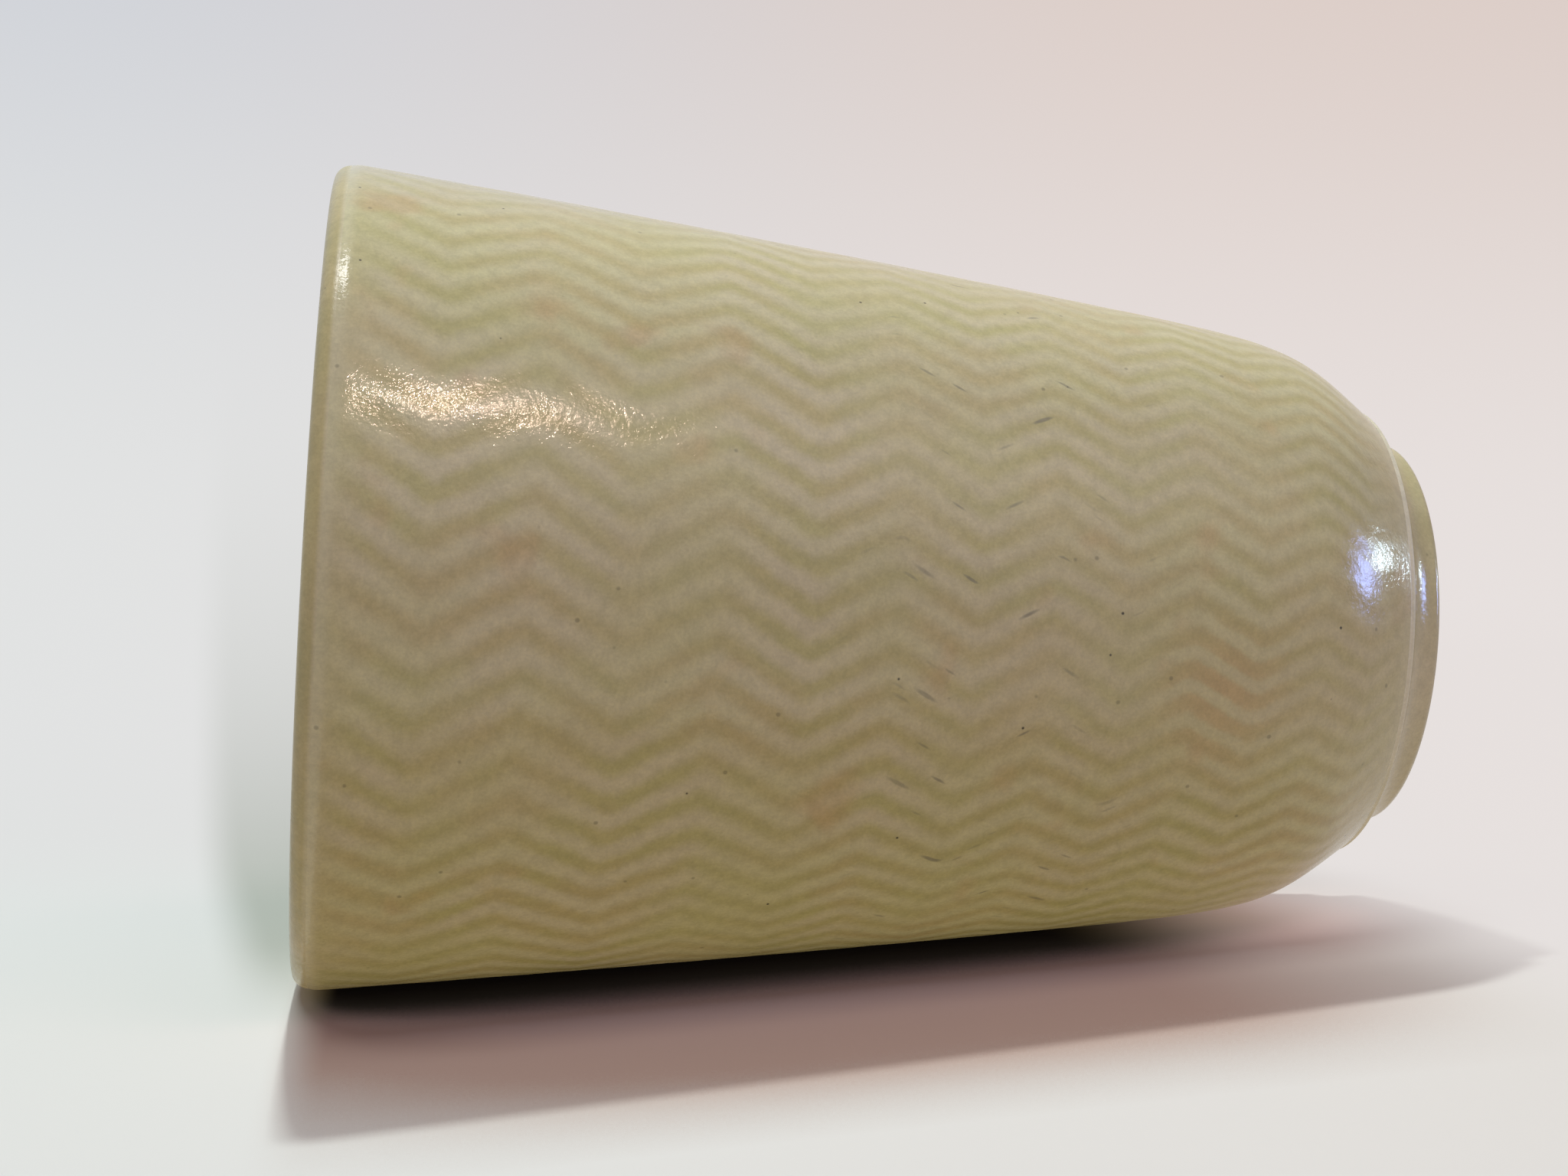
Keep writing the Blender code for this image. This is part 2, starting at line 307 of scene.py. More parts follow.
def turned_piece(name, profile, material, node):
    """A profile turned round the axis: a ring where it is closed, or a solid where it ends on the axis."""
    profile = np.array(profile)
    on_axis = profile[0][0] == 0.0
    middle = profile[1:-1] if on_axis else profile
    angles = np.linspace(0.0, math.tau, TURN_COLUMNS, endpoint=False)[None, :]
    verts = wrapped(middle[:, None, :], angles)
    faces = grid_faces(len(middle), TURN_COLUMNS, closed_rows=not on_axis)
    if on_axis:
        top, bottom = len(verts), len(verts) + 1
        verts = np.concatenate((verts, [[0.0, 0.0, profile[0][1]], [0.0, 0.0, profile[-1][1]]]))
        last = (len(middle) - 1) * TURN_COLUMNS
        for column in range(TURN_COLUMNS):
            after = (column + 1) % TURN_COLUMNS
            faces.append([top, column, after])
            faces.append([bottom, last + after, last + column])
    return new_piece(name, verts, faces, material, node)


def set_values(piece, name, values):
    """A number for each point of a mesh, which its material reads."""
    attribute = piece.data.attributes.new(name, "FLOAT", "POINT")
    attribute.data.foreach_set("value", np.asarray(values, dtype=np.float32).ravel())


def set_places(piece, name, places):
    """A place for each point of a mesh, which its material reads."""
    attribute = piece.data.attributes.new(name, "FLOAT_VECTOR", "POINT")
    attribute.data.foreach_set("vector", np.asarray(places, dtype=np.float32).ravel())


def combed_places(along, columns):
    """Places that keep still along a stripe, so that what they pattern is drawn out down the zigzag."""
    angle, drawn = np.broadcast_arrays(columns * (math.tau / COLUMNS), COMB_DRAW * along)
    return np.stack((BELLY_RADIUS * np.cos(angle), BELLY_RADIUS * np.sin(angle), drawn), axis=-1)


def zigzag_glaze(material):
    """The outside coat: its columns follow the zigzag, so each keeps its place across the stripes."""
    along = np.linspace(0.0, VASE.length, GLAZE_ROWS)
    columns = np.arange(COLUMNS)[None, :]
    column_angle = STRIPE_START + columns * (math.tau / COLUMNS)
    angle = column_angle + zigzag_shift(along[:, None], column_angle)
    phase = columns * (math.tau / COLUMNS_PER_STRIPE) + wobble(angle, along[:, None])
    strength = fade(along)[:, None]
    depth = RELIEF * strength * (0.5 - 0.5 * np.cos(phase)) + shoulder_drop(along)[:, None]
    outline, normals = VASE.under(along, 0.0), VASE.under(along, -1.0)
    points = outline[:, None, :] - (normals - outline)[:, None, :] * depth[..., None]
    outside = wrapped(points, angle)
    back = np.linspace(VASE.length, 0.0, UNDER_ROWS)
    under_angle = column_angle + zigzag_shift(back[:, None], column_angle)
    under = VASE.under(back, OUTER_GLAZE)[:, None, :]
    verts = np.concatenate((outside, wrapped(under, under_angle)))
    faces = grid_faces(GLAZE_ROWS + UNDER_ROWS, COLUMNS, closed_rows=True)
    piece = new_piece("zigzag_glaze", verts, faces, material, "outer_glaze")
    plain = np.zeros((UNDER_ROWS, COLUMNS))
    set_values(piece, "stripe_cos", np.concatenate((np.cos(phase), plain)))
    set_values(piece, "stripe_sin", np.concatenate((np.sin(phase), plain)))
    set_values(piece, "stripe_fade", np.concatenate((np.broadcast_to(strength, phase.shape), plain)))
    all_along = np.concatenate((along, back))[:, None]
    set_values(piece, "along", np.broadcast_to(all_along, (GLAZE_ROWS + UNDER_ROWS, COLUMNS)))
    set_places(piece, "combed", combed_places(all_along, columns))
    return piece


def lip_glaze(material):
    """The glaze over the lip, between two half ellipses."""
    inner_depth = CLAY_DEPTH + WALL_AT_LIP + FIT
    start = np.array([0.0])
    outer = VASE.under(start, shoulder_drop(start))[0]
    inner = VASE.under(start, inner_depth + INNER_GLAZE)[0]
    under_outer, under_inner = VASE.under(start, OUTER_GLAZE)[0], VASE.under(start, inner_depth)[0]
    over = lip_curve(outer, inner, HEIGHT, LIP_POINTS)
    below = lip_curve(under_outer, under_inner, HEIGHT - RIM_GLAZE, CURVE_POINTS)
    return turned_piece("lip_glaze", [*over[::-1], *below], material, "rim_glaze")


def inside_curve(depth, rings):
    """The inside at this depth from the clay, from the lip to the axis, with throwing rings in it."""
    along = np.linspace(0.0, VASE.length, INSIDE_ROWS)
    thrown = rings * np.sin(along * math.tau / RING_SPACING)
    points = VASE.under(along, CLAY_DEPTH + clay_wall(along) + depth + thrown)
    floor_z = ARRIS_Z + FIT + FLOOR + depth
    kept = points[points[:, 1] > floor_z]
    reach = kept[-1][0]
    floor = [(reach * share, floor_z) for share in FLOOR_RINGS]
    return [*kept, *floor, (0.0, floor_z)]


def liner_glaze(material):
    """The coat inside, with throwing rings on its face."""
    profile = [*inside_curve(FIT + INNER_GLAZE, RING_DEPTH)[::-1], *inside_curve(FIT, 0.0)]
    return turned_piece("liner_glaze", profile, material, "inner_glaze")


def slip_bead(material):
    """The slip that joins foot and body, squeezed out to a soft bead at the end of the dome."""
    arris, foot_edge = np.array([ARRIS_RADIUS, ARRIS_Z]), np.array([ARRIS_RADIUS - FIT, FOOT_TOP_Z])
    start = arris + BEAD_RISE * np.array([math.cos(DOME_END_ANGLE), math.sin(DOME_END_ANGLE)])
    swell = foot_edge + BEAD_SWELL * BEAD_LEAN
    profile = [*bezier([start, arris, swell, foot_edge], CURVE_POINTS)]
    profile += [(FOOT_INNER_RADIUS, FOOT_TOP_Z), (FOOT_INNER_RADIUS, ARRIS_Z)]
    return turned_piece("slip_bead", profile, material, "luting_slip")


def foot_coat(material):
    """The coat in the foot's cove and over its edge."""
    along = np.linspace(0.0, FOOT.length, FOOT_ROWS)
    outside = FOOT.under(along, 0.0)
    inside = FOOT.under(along, FOOT_GLAZE)
    inside = inside[inside[:, 1] < FOOT_TOP_Z]
    return turned_piece("foot_coat", [*outside, *inside[::-1]], material, "foot_glaze")


def base_coat(material):
    """The coat under the floor, which turns down inside the foot ring."""
    radius = FOOT_INNER_RADIUS - FIT

    def fillet(edge, top):
        turns = np.linspace(0.0, math.pi / 2.0, FILLET_POINTS)
        return [(edge - BASE_FILLET * (1.0 - math.sin(turn)), top - BASE_FILLET * (1.0 - math.cos(turn)))
                for turn in turns]

    inner = radius - BASE_GLAZE
    rings = [share * (radius - BASE_FILLET) for share in BASE_RINGS]
    profile = [(0.0, ARRIS_Z), *((ring, ARRIS_Z) for ring in rings), *fillet(radius, ARRIS_Z)]
    profile += [(radius, WIPED_SKIRT), (inner, WIPED_SKIRT), *fillet(inner, ARRIS_Z - BASE_GLAZE)[::-1]]
    profile += [*((ring, ARRIS_Z - BASE_GLAZE) for ring in rings[::-1]), (0.0, ARRIS_Z - BASE_GLAZE)]
    return turned_piece("base_coat", profile, material, "base_glaze")


# Node trees


class Patches(NamedTuple):
    """Soft noise, whose span from low to high is stretched to run from at_low to at_high."""

    scale: float
    detail: float
    roughness: float
    low: float
    high: float
    at_low: float = 0.0
    at_high: float = 1.0


class Specks(NamedTuple):
    """Round specks in a share of the cells of a grid: cells to the metre, and a speck's radius in cells."""

    scale: float
    radius: float
    share: float


class Tree:
    """A node tree, with short calls for the nodes used here."""

    def __init__(self, node_tree):
        self.nodes = node_tree.nodes
        self.links = node_tree.links

    def put(self, socket, value):
        """Links another socket to this one, or sets it to a plain value."""
        if isinstance(value, bpy.types.NodeSocket):
            self.links.new(value, socket)
        else:
            socket.default_value = value

    def maths(self, operation, *values, clamp=False):
        node = self.nodes.new("ShaderNodeMath")
        node.operation = operation
        node.use_clamp = clamp
        for socket, value in zip(node.inputs, values):
            self.put(socket, value)
        return node.outputs[0]

    def part(self, place, axis):
        """One of the three coordinates of a place."""
        node = self.nodes.new("ShaderNodeSeparateXYZ")
        self.links.new(place, node.inputs[0])
        return node.outputs[axis]

    def ramp(self, value, shades):
        """A colour between shades, each of which is a place on the ramp and its colour."""
        node = self.nodes.new("ShaderNodeValToRGB")
        self.links.new(value, node.inputs[0])
        stops = node.color_ramp.elements
        stops.remove(stops[1])
        stops[0].position = shades[0][0]
        for place, _ in shades[1:]:
            stops.new(place)
        for stop, (_, colour) in zip(stops, shades):
            stop.color = (*colour, 1.0)
        return node.outputs[0]

    def choose(self, share, first, second):
        """The first surface where the share is 0, and the second where it is 1."""
        node = self.nodes.new("ShaderNodeMixShader")
        for socket, value in zip(node.inputs, (share, first, second)):
            self.links.new(value, socket)
        return node.outputs[0]

    def seen_directly(self):
        """1 for rays from the camera, off gloss or through glass, which see the pale background."""
        path = self.nodes.new("ShaderNodeLightPath")
        mirrored = self.maths("MAXIMUM", path.outputs["Is Glossy Ray"], path.outputs["Is Transmission Ray"])
        return self.maths("MAXIMUM", path.outputs["Is Camera Ray"], mirrored)


class Shader(Tree):
    """A material's node tree, whose patterns lie in the vase's own frame."""

    def __init__(self, name):
        self.material = bpy.data.materials.new(name)
        self.material.use_nodes = True
        super().__init__(self.material.node_tree)
        self.surface = self.nodes["Principled BSDF"]
        self.place = self.nodes.new("ShaderNodeTexCoord").outputs["Object"]

    def set(self, **values):
        """Sets inputs of the surface, named with underscores for spaces."""
        for name, value in values.items():
            self.put(self.surface.inputs[name.replace("_", " ")], value)

    def attribute(self, name, output="Fac"):
        """What the mesh holds under this name for each of its points."""
        node = self.nodes.new("ShaderNodeAttribute")
        node.attribute_name = name
        return node.outputs[output]

    def along_axis(self, axis):
        return self.part(self.place, axis)

    def step(self, value, low, high, at_low=0.0, at_high=1.0):
        """A smooth step from at_low, where the value is low, to at_high, where it is high."""
        node = self.nodes.new("ShaderNodeMapRange")
        node.interpolation_type = "SMOOTHSTEP"
        self.put(node.inputs["Value"], value)
        limits = {"From Min": low, "From Max": high, "To Min": at_low, "To Max": at_high}
        for name, number in limits.items():
            node.inputs[name].default_value = number
        return node.outputs["Result"]

    def noise(self, scale, detail, roughness):
        node = self.nodes.new("ShaderNodeTexNoise")
        self.links.new(self.place, node.inputs["Vector"])
        node.inputs["Scale"].default_value = scale
        node.inputs["Detail"].default_value = detail
        node.inputs["Roughness"].default_value = roughness
        return node.outputs["Fac"]

    def patches(self, look):
        noise = self.noise(look.scale, look.detail, look.roughness)
        return self.step(noise, look.low, look.high, look.at_low, look.at_high)

    def specks(self, look, place=None):
        """1 in the specks and 0 between them."""
        cells = self.nodes.new("ShaderNodeTexVoronoi")
        self.links.new(place or self.place, cells.inputs["Vector"])
        cells.inputs["Scale"].default_value = look.scale
        parts = self.nodes.new("ShaderNodeSeparateColor")
        self.links.new(cells.outputs["Color"], parts.inputs[0])
        picked = self.maths("LESS_THAN", parts.outputs[0], look.share)
        inside = self.step(cells.outputs["Distance"], look.radius, look.radius * SPECK_CORE)
        return self.maths("MULTIPLY", picked, inside)

    def near(self, place, reach):
        """1 at a place, falling to 0 at this reach from it."""
        node = self.nodes.new("ShaderNodeVectorMath")
        node.operation = "DISTANCE"
        self.links.new(self.place, node.inputs[0])
        node.inputs[1].default_value = place
        return self.step(node.outputs["Value"], reach, 0.0)

    def mix(self, share, first, second, blend="MIX"):
        node = self.nodes.new("ShaderNodeMix")
        node.data_type = "RGBA"
        node.blend_type = blend
        self.put(node.inputs["Factor"], share)
        for name, colour in (("A", first), ("B", second)):
            socket = [each for each in node.inputs if each.name == name and each.type == "RGBA"][0]
            self.put(socket, (*colour, 1.0) if isinstance(colour, tuple) else colour)
        return [each for each in node.outputs if each.type == "RGBA"][0]

    def bump(self, height, depth):
        node = self.nodes.new("ShaderNodeBump")
        node.inputs["Distance"].default_value = depth
        self.links.new(height, node.inputs["Height"])
        self.links.new(node.outputs["Normal"], self.surface.inputs["Normal"])


# Materials

# Colours
PALE = (0.67, 0.605, 0.42)
PALE_KHAKI = (0.66, 0.62, 0.38)
OLIVE = (0.55, 0.51, 0.25)
OCHRE = (0.58, 0.495, 0.27)
FOOT_PALE = (0.68, 0.62, 0.45)
FOOT_OLIVE = (0.56, 0.51, 0.27)
RUST = (0.60, 0.42, 0.22)
ARRIS_PALE = (0.78, 0.74, 0.58)
# The lip's olive-brown is partly its glaze colour and partly painted shade, darker where the lip faces away
# from the light
LIP_BROWN_AND_SHADE = (0.52, 0.46, 0.23)
SLIP_PALE = (0.88, 0.84, 0.70)
SPECK = (0.09, 0.08, 0.06)
SCUFF = (0.20, 0.19, 0.16)
CLAY_DARK = (0.56, 0.42, 0.29)
CLAY_PALE = (0.64, 0.50, 0.37)
WHITE = (1.0, 1.0, 1.0)

# Gloss
GLAZE_IOR = 1.5
GLAZE_ROUGH = 0.17
WALL_ROUGH = 0.11
LIP_ROUGH = 0.24
SLIP_ROUGH = 0.45
CLAY_ROUGH = 0.85
CLOTH_ROUGH = 0.95
GLOSS_PATCHES = Patches(90.0, 3.0, 0.5, 0.3, 0.7, -0.03, 0.05)

# Mottle, specks and fine unevenness. The noises of ripple and clay are a scale, detail and roughness.
BLOTCHES = Patches(420.0, 3.0, 0.65, 0.3, 0.7, 0.94, 1.06)
GRAIN = Patches(1700.0, 2.0, 0.6, 0.25, 0.75, 0.95, 1.05)
CLOUDS = Patches(60.0, 3.0, 0.5, 0.3, 0.7)
FOOT_CLOUDS = Patches(60.0, 3.0, 0.5, 0.3, 0.7, -0.2, 0.2)
DARK_SPECKS = Specks(140.0, 0.055, 0.30)
DIM_SPECKS = Specks(190.0, 0.11, 0.22)
DIM_STRENGTH = 0.4
SPECK_CORE = 0.4
RIPPLE = (900.0, 3.0, 0.55)
RIPPLE_DEPTH = 0.00008
CLAY_GRAIN = (900.0, 4.0, 0.7)
CLAY_SPAN = (0.3, 0.7)
CLAY_GRAIN_DEPTH = 0.0001

# Zigzag, rust, and rubs on the wall
STRIPE_WANDER = Patches(170.0, 3.0, 0.6, 0.2, 0.8, -0.5, 0.5)
STRIPE_CONTRAST = Patches(32.0, 2.0, 0.5, 0.3, 0.7, 0.28, 0.62)
PALE_PATCHES = Patches(28.0, 2.0, 0.5, 0.35, 0.65)
LINE_PATCHES = Patches(45.0, 2.0, 0.5, 0.35, 0.7)
RUST_PATCHES = Patches(60.0, 2.0, 0.5, 0.62, 0.78, 0.0, 0.5)
STAIN_AT = Vector((-0.0125, -0.061, 0.050))
STAIN_REACH = 0.020
WEAR_PATCHES = Patches(40.0, 2.0, 0.5, 0.31, 0.47)
LONG_SCUFFS = Specks(230.0, 0.14, 0.95)
SHORT_SCUFFS = Specks(330.0, 0.14, 0.95)
SCUFF_STRENGTH = 0.7
SCUFF_FROM, SCUFF_TO = 0.085, 0.165

# Smooth steps: where each starts and ends, and its values there if they aren't 0 and 1
CONTRAST_ALONG = (0.05, 0.15, 1.15, 0.9)
CONTRAST_UPWARD = (0.03, 0.075, 1.0, 0.7)
STAIN_ON_LINES = (0.8, 0.3, 0.1, 0.7)
THIN_AT_LIP = (0.0030, 0.0003, 0.0, 0.30)
THIN_AT_ARRIS = (VASE.length - 0.0050, VASE.length - 0.0002, 0.0, 0.3)
ROUGH_ALONG = (0.06, 0.16, WALL_ROUGH, GLAZE_ROUGH)
LIP_EDGE = (LIP_Z + 0.0011, LIP_Z, 0.0, 0.45)
FOOT_OLIVE_SIDE = (-0.02, 0.04)


def finish_glaze(shader, colour, rough=GLAZE_ROUGH):
    """Mottle, specks, gloss and fine unevenness that all the glazes share."""
    mottle = shader.maths("MULTIPLY", shader.patches(BLOTCHES), shader.patches(GRAIN))
    colour = shader.mix(1.0, colour, mottle, "MULTIPLY")
    colour = shader.mix(shader.specks(DARK_SPECKS), colour, SPECK)
    dim = shader.maths("MULTIPLY", shader.specks(DIM_SPECKS), DIM_STRENGTH)
    colour = shader.mix(dim, colour, SPECK)
    uneven = shader.maths("ADD", rough, shader.patches(GLOSS_PATCHES))
    shader.set(Base_Color=colour, Roughness=uneven, IOR=GLAZE_IOR)
    shader.bump(shader.noise(*RIPPLE), RIPPLE_DEPTH)
    return shader.material


def scuffs(shader):
    """Short dark rubs drawn out along the stripes, in a belt round the middle of the wall."""
    combed = shader.attribute("combed", "Vector")
    marks = shader.maths("MAXIMUM", shader.specks(LONG_SCUFFS, combed), shader.specks(SHORT_SCUFFS, combed))
    along = shader.attribute("along")
    middle = (SCUFF_FROM + SCUFF_TO) / 2.0
    worn = shader.maths("MULTIPLY", shader.patches(WEAR_PATCHES), SCUFF_STRENGTH)
    for edge in (SCUFF_FROM, SCUFF_TO):
        worn = shader.maths("MULTIPLY", worn, shader.step(along, edge, middle))
    return shader.maths("MULTIPLY", marks, worn)


def stripe_band(shader):
    """From 0 on the olive lines to 1 on the pale ones, with edges that wander and a contrast that varies."""
    side, wave = shader.attribute("stripe_sin"), shader.attribute("stripe_cos")
    wave = shader.maths("MULTIPLY_ADD", shader.patches(STRIPE_WANDER), side, wave)
    contrast = shader.maths("MULTIPLY", shader.patches(STRIPE_CONTRAST), shader.attribute("stripe_fade"))
    along, upward = shader.attribute("along"), shader.along_axis("X")
    for value, limits in ((along, CONTRAST_ALONG), (upward, CONTRAST_UPWARD)):
        contrast = shader.maths("MULTIPLY", contrast, shader.step(value, *limits))
    return shader.maths("MULTIPLY_ADD", wave, contrast, 0.5, clamp=True)


def zigzag_material():
    """Olive lines on pale glaze, with rust, one stain and rubs, and thin and pale at both ends."""
    shader = Shader("zigzag_glaze")
    band = stripe_band(shader)
    pale = shader.mix(shader.patches(PALE_PATCHES), PALE, PALE_KHAKI)
    line = shader.mix(shader.patches(LINE_PATCHES), OLIVE, OCHRE)
    colour = shader.mix(band, line, pale)
    stain = shader.near(STAIN_AT, STAIN_REACH)
    stain = shader.maths("MULTIPLY", stain, shader.step(band, *STAIN_ON_LINES))
    rust = shader.maths("MAXIMUM", shader.patches(RUST_PATCHES), stain)
    colour = shader.mix(rust, colour, RUST)
    colour = shader.mix(scuffs(shader), colour, SCUFF)
    along = shader.attribute("along")
    thin = shader.maths("ADD", shader.step(along, *THIN_AT_LIP), shader.step(along, *THIN_AT_ARRIS))
    rough = shader.step(along, *ROUGH_ALONG)
    return finish_glaze(shader, shader.mix(thin, colour, ARRIS_PALE), rough)


def lip_material():
    """Olive-brown, partly the glaze's own colour and partly painted shade where the lip faces away from the
    light, and thin and pale where it meets the wall.
    """
    shader = Shader("rim_glaze")
    brown_and_shade = shader.mix(shader.patches(CLOUDS), LIP_BROWN_AND_SHADE, OCHRE)
    pale = shader.step(shader.along_axis("Z"), *LIP_EDGE)
    return finish_glaze(shader, shader.mix(pale, brown_and_shade, ARRIS_PALE), LIP_ROUGH)


def plain_glaze(name, first, second, rough=GLAZE_ROUGH):
    """Clouds of two colours."""
    shader = Shader(name)
    return finish_glaze(shader, shader.mix(shader.patches(CLOUDS), first, second), rough)


def foot_material():
    """More olive towards the +X side and paler towards -X, with cloudy patches."""
    shader = Shader("foot_glaze")
    olive_side = shader.step(shader.along_axis("X"), *FOOT_OLIVE_SIDE)
    olive_side = shader.maths("ADD", olive_side, shader.patches(FOOT_CLOUDS), clamp=True)
    return finish_glaze(shader, shader.mix(olive_side, FOOT_PALE, FOOT_OLIVE))


def clay_material():
    """Bare earthenware."""
    shader = Shader("earthenware")
    grain = shader.noise(*CLAY_GRAIN)
    colour = shader.mix(shader.step(grain, *CLAY_SPAN), CLAY_DARK, CLAY_PALE)
    shader.set(Base_Color=colour, Roughness=CLAY_ROUGH)
    shader.bump(grain, CLAY_GRAIN_DEPTH)
    return shader.material


# Stage

FLOOR_SLOPE = (RIM_RADIUS - BELLY_RADIUS) / (LIP_Z - BELLY_Z)
FLOOR_NORMAL = Vector((1.0, 0.0, FLOOR_SLOPE)).normalized()
FLOOR_RUN = Vector((-FLOOR_SLOPE, 0.0, 1.0)).normalized()
FLOOR_AT = Vector((-RIM_RADIUS - WALL_BOW, 0.0, LIP_Z))
SWEEP_FRONT = -1.6
SWEEP_BEND = 0.22
SWEEP_ROUND = 0.45
SWEEP_HEIGHT = 1.6
SWEEP_HALF_WIDTH = 1.8
SWEEP_POINTS = 24
CLOTH_LEFT = (0.79, 0.79, 0.81)
CLOTH_RIGHT = (0.80, 0.735, 0.74)
# Painted shadow on the floor: ambient occlusion sets the cloth's colour, near black where the vase touches
# and warm in front of it
PAINTED_SHADOW_REACH = 0.12
PAINTED_SHADOW_SHADES = (
    (0.0, (0.01, 0.01, 0.02)),
    (0.20, (0.06, 0.06, 0.08)),
    (0.27, (0.15, 0.14, 0.20)),
    (0.40, (0.50, 0.42, 0.50)),
    (0.60, (0.55, 0.40, 0.38)),
    (0.84, (0.64, 0.47, 0.41)),
    (0.90, (0.86, 0.82, 0.80)),
    (1.0, (1.0, 1.0, 1.0)),
)
# Painted light: an emission colour that brightens the floor under the dome's end
PAINTED_DOME_LIGHT = (0.24, 0.17, 0.18)
LEFT_SHADE = (0.62, 0.65, 0.60)
LEFT_SHADE_EDGE = 0.228
LEFT_SHADE_SPREAD = 0.095
LEFT_SHADE_SOFT = 0.008
BACK_LEFT_LOW = (0.755, 0.765, 0.765)
BACK_RIGHT_LOW = (0.80, 0.75, 0.735)
BACK_LEFT_HIGH = (0.61, 0.63, 0.68)
BACK_RIGHT_HIGH = (0.715, 0.61, 0.57)

# Smooth steps on the sweep, as for the materials
ACROSS = (0.40, -0.15)
# Where the painted floor shadow fades out beside the mouth and toward the foot
PAINTED_SHADOW_LEFT = (0.222, 0.211)
PAINTED_SHADOW_RIGHT = (0.0, 0.07)
# Openness of the floor over which the painted light under the dome fades in
PAINTED_DOME_LIGHT_SPAN = (0.8, 0.3)
LEFT_SHADE_FRONT = (-0.06, 0.08)
LEFT_SHADE_BACK = (0.60, 0.12)
LEFT_SHADE_RIGHT = (0.10, 0.18)
BEHIND = (0.10, 0.42)
PAST_FOOT = (0.029, -0.024, 0.0, 0.95)
BACK_RISE = (0.0, 0.35)


def left_shade(shader):
    """1 in the soft shade beside the mouth, which widens and fades behind it."""
    y, z = shader.along_axis("Y"), shader.along_axis("Z")
    edge = shader.maths("MULTIPLY_ADD", y, LEFT_SHADE_SPREAD, LEFT_SHADE_EDGE)
    share = shader.step(shader.maths("SUBTRACT", z, edge), LEFT_SHADE_SOFT, -LEFT_SHADE_SOFT)
    for value, limits in ((y, LEFT_SHADE_FRONT), (y, LEFT_SHADE_BACK), (z, LEFT_SHADE_RIGHT)):
        share = shader.maths("MULTIPLY", share, shader.step(value, *limits))
    return share


def lit_cloth(shader, across, beside, seen):
    """The floor near the vase, with painted shadow, dark under the wall, and a dim painted glow under the
    dome.
    """
    # Painted shadow: ambient occlusion darkens the cloth's colour near the vase
    occlusion = shader.nodes.new("ShaderNodeAmbientOcclusion")
    occlusion.inputs["Distance"].default_value = PAINTED_SHADOW_REACH
    openness = occlusion.outputs["AO"]
    z = shader.along_axis("Z")
    left, right = shader.step(z, *PAINTED_SHADOW_LEFT), shader.step(z, *PAINTED_SHADOW_RIGHT)
    painted_shadow = shader.ramp(openness, PAINTED_SHADOW_SHADES)
    painted_shadow = shader.mix(shader.maths("MULTIPLY", left, right), WHITE, painted_shadow)
    colour = shader.mix(across, CLOTH_LEFT, CLOTH_RIGHT)
    for shade in (painted_shadow, beside):
        colour = shader.mix(1.0, colour, shade, "MULTIPLY")
    # Painted light: the floor under the dome glows of its own for seen rays
    painted_dome_share = shader.maths("MULTIPLY", shader.step(openness, *PAINTED_DOME_LIGHT_SPAN), shader.step(right, 1.0, 0.0))
    glow = shader.maths("MULTIPLY", painted_dome_share, seen)
    shader.set(Base_Color=colour, Roughness=CLOTH_ROUGH, Specular_IOR_Level=0.0)
    shader.set(Emission_Color=(*PAINTED_DOME_LIGHT, 1.0), Emission_Strength=glow)


def plain_ground(shader, across, beside):
    """The plain background, as light of its own that changes across the picture and upward."""
    low = shader.mix(across, BACK_LEFT_LOW, BACK_RIGHT_LOW)
    high = shader.mix(across, BACK_LEFT_HIGH, BACK_RIGHT_HIGH)
    colour = shader.mix(shader.step(shader.along_axis("X"), *BACK_RISE), low, high)
    glow = shader.nodes.new("ShaderNodeEmission")
    shader.links.new(shader.mix(1.0, colour, beside, "MULTIPLY"), glow.inputs["Color"])
    return glow.outputs[0]


def sweep_material():
    """Pale cloth near the vase, plain ground behind it and past its foot, and clear from the back."""
    shader = Shader("sweep")
    z = shader.along_axis("Z")
    across = shader.step(z, *ACROSS)
    beside = shader.mix(left_shade(shader), WHITE, LEFT_SHADE)
    seen = shader.seen_directly()
    lit_cloth(shader, across, beside, seen)
    plain = shader.maths("MAXIMUM", shader.step(shader.along_axis("Y"), *BEHIND), shader.step(z, *PAST_FOOT))
    plain = shader.maths("MULTIPLY", plain, seen)
    surface = shader.choose(plain, shader.surface.outputs[0], plain_ground(shader, across, beside))
    back = shader.nodes.new("ShaderNodeNewGeometry").outputs["Backfacing"]
    clear = shader.nodes.new("ShaderNodeBsdfTransparent").outputs[0]
    output = shader.nodes["Material Output"].inputs["Surface"]
    shader.links.new(shader.choose(back, surface, clear), output)
    return shader.material


def sweep():
    """A floor under the lying vase that curves up behind it."""
    turns = np.linspace(-math.pi / 2.0, 0.0, SWEEP_POINTS)
    bend = [(SWEEP_BEND + SWEEP_ROUND * math.cos(turn), SWEEP_ROUND * (1.0 + math.sin(turn)))
            for turn in turns]
    line = [(SWEEP_FRONT, 0.0), *bend, (SWEEP_BEND + SWEEP_ROUND, SWEEP_HEIGHT)]
    verts = []
    for back, height in line:
        for side in (-SWEEP_HALF_WIDTH, SWEEP_HALF_WIDTH):
            verts.append(FLOOR_AT + FLOOR_NORMAL * height + FLOOR_RUN * side + Vector((0.0, back, 0.0)))
    faces = [(2 * i, 2 * i + 2, 2 * i + 3, 2 * i + 1) for i in range(len(line) - 1)]
    mesh = bpy.data.meshes.new("sweep")
    mesh.from_pydata(verts, [], faces)
    mesh.shade_smooth()
    mesh.materials.append(sweep_material())
    stage = bpy.data.objects.new("sweep", mesh)
    bpy.context.scene.collection.objects.link(stage)
    stage.visible_shadow = False
    stage.visible_diffuse = False


# Lamps

